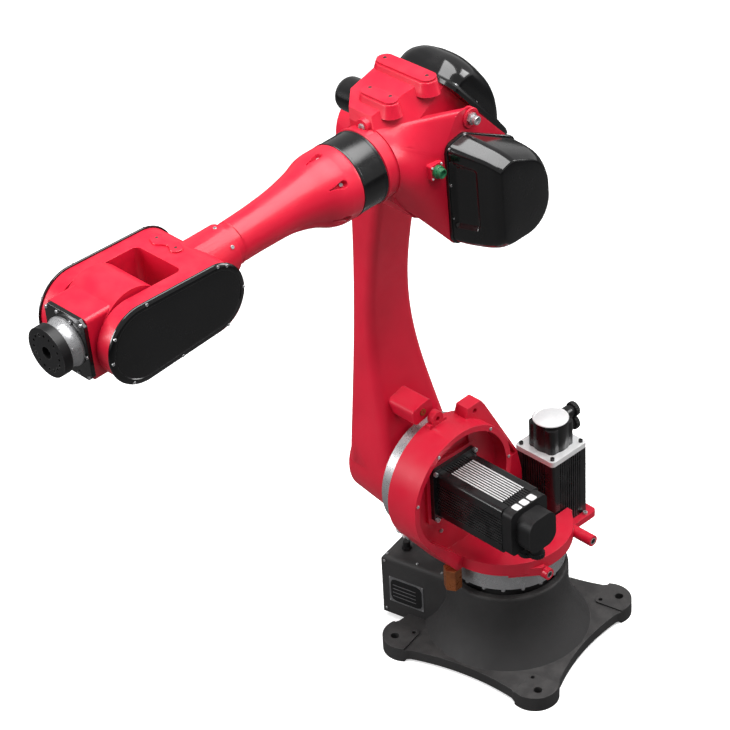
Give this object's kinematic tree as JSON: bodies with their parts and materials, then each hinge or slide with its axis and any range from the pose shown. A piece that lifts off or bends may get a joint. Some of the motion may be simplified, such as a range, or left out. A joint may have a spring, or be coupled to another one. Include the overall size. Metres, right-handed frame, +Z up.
{
  "type": "industrial robot arm",
  "caption": "Articulated industrial robot arm on a flared cast base, with a one-sided lower arm, covered elbow motors and a forked wrist with a tool flange.",
  "frame": {"origin": "on the floor, on the turret's turning axis, in the middle of the base's underside", "axes": "+Z up; +X and +Y run along the sides of the square base, with the connector box on the -Y side; at rest the arm reaches forward along a line turned 12.5 degrees from +X towards -Y"},
  "size_m": [1.5423, 0.6323, 1.7425],
  "materials": {
    "alloy": "satin",
    "base_paint": "fine textured",
    "black_gloss": "gloss",
    "black_plastic": "matte",
    "brass": "machined",
    "flange_black": "satin",
    "motor_black": "satin",
    "plate_grey": "satin",
    "red_paint": "satin",
    "socket_green": "matte",
    "steel": "machined"
  },
  "bodies": {
    "base": {"base_casting": "base_paint", "connector_box": "base_paint", "rating_plate": "plate_grey", "base_sockets": "black_plastic", "cable_gland": "black_plastic"},
    "turret": {"turret_casting": "red_paint", "turn_reducer": "steel", "turn_stop": "brass", "lift_motor": "motor_black", "lift_encoder": "black_plastic", "turn_motor": "motor_black", "turn_motor_bell": "alloy", "turn_encoder": "motor_black", "shoulder_reducer": "steel"},
    "lower_arm": {"lower_arm": "red_paint", "stop_bush": "brass", "elbow_reducer": "steel"},
    "elbow": {"elbow_casting": "red_paint", "side_cover": "black_gloss", "rear_cover": "black_gloss", "hub_cap": "black_gloss", "elbow_socket": "socket_green", "elbow_plug": "steel", "roll_band": "black_gloss"},
    "forearm": {"forearm_tube": "red_paint", "wrist_fork": "red_paint", "left_cover": "black_gloss", "right_cover": "black_gloss"},
    "wrist": {"wrist_block": "red_paint", "wrist_plate": "flange_black", "wrist_ring": "steel"},
    "tool_flange": {"tool_flange": "flange_black"}
  },
  "joints": [
    {"name": "turn", "type": "hinge", "parent": "base", "child": "turret", "pos_m": [0, 0, 0.251], "axis": [0, 0, 1], "range_deg": [-62.5, 267.5]},
    {"name": "lift", "type": "hinge", "parent": "turret", "child": "lower_arm", "pos_m": [0.15426, -0.0342, 0.548], "axis": [0.2164, 0.9763, 0], "range_deg": [-70, 90]},
    {"name": "reach", "type": "hinge", "parent": "lower_arm", "child": "elbow", "pos_m": [0.15426, -0.0342, 1.475], "axis": [-0.2164, -0.9763, 0], "range_deg": [-52.4, 107.6]},
    {"name": "roll", "type": "hinge", "parent": "elbow", "child": "forearm", "pos_m": [0.48798, -0.10818, 1.56258], "axis": [0.9753, -0.2162, -0.0454], "range_deg": [-180, 180]},
    {"name": "nod", "type": "hinge", "parent": "forearm", "child": "wrist", "pos_m": [1.10192, -0.24429, 1.53403], "axis": [0.2164, 0.9763, 0], "range_deg": [-115, 115]},
    {"name": "twist", "type": "hinge", "parent": "wrist", "child": "tool_flange", "pos_m": [1.27455, -0.28256, 1.526], "axis": [0.9753, -0.2162, -0.0454], "range_deg": [-360, 360]}
  ]
}
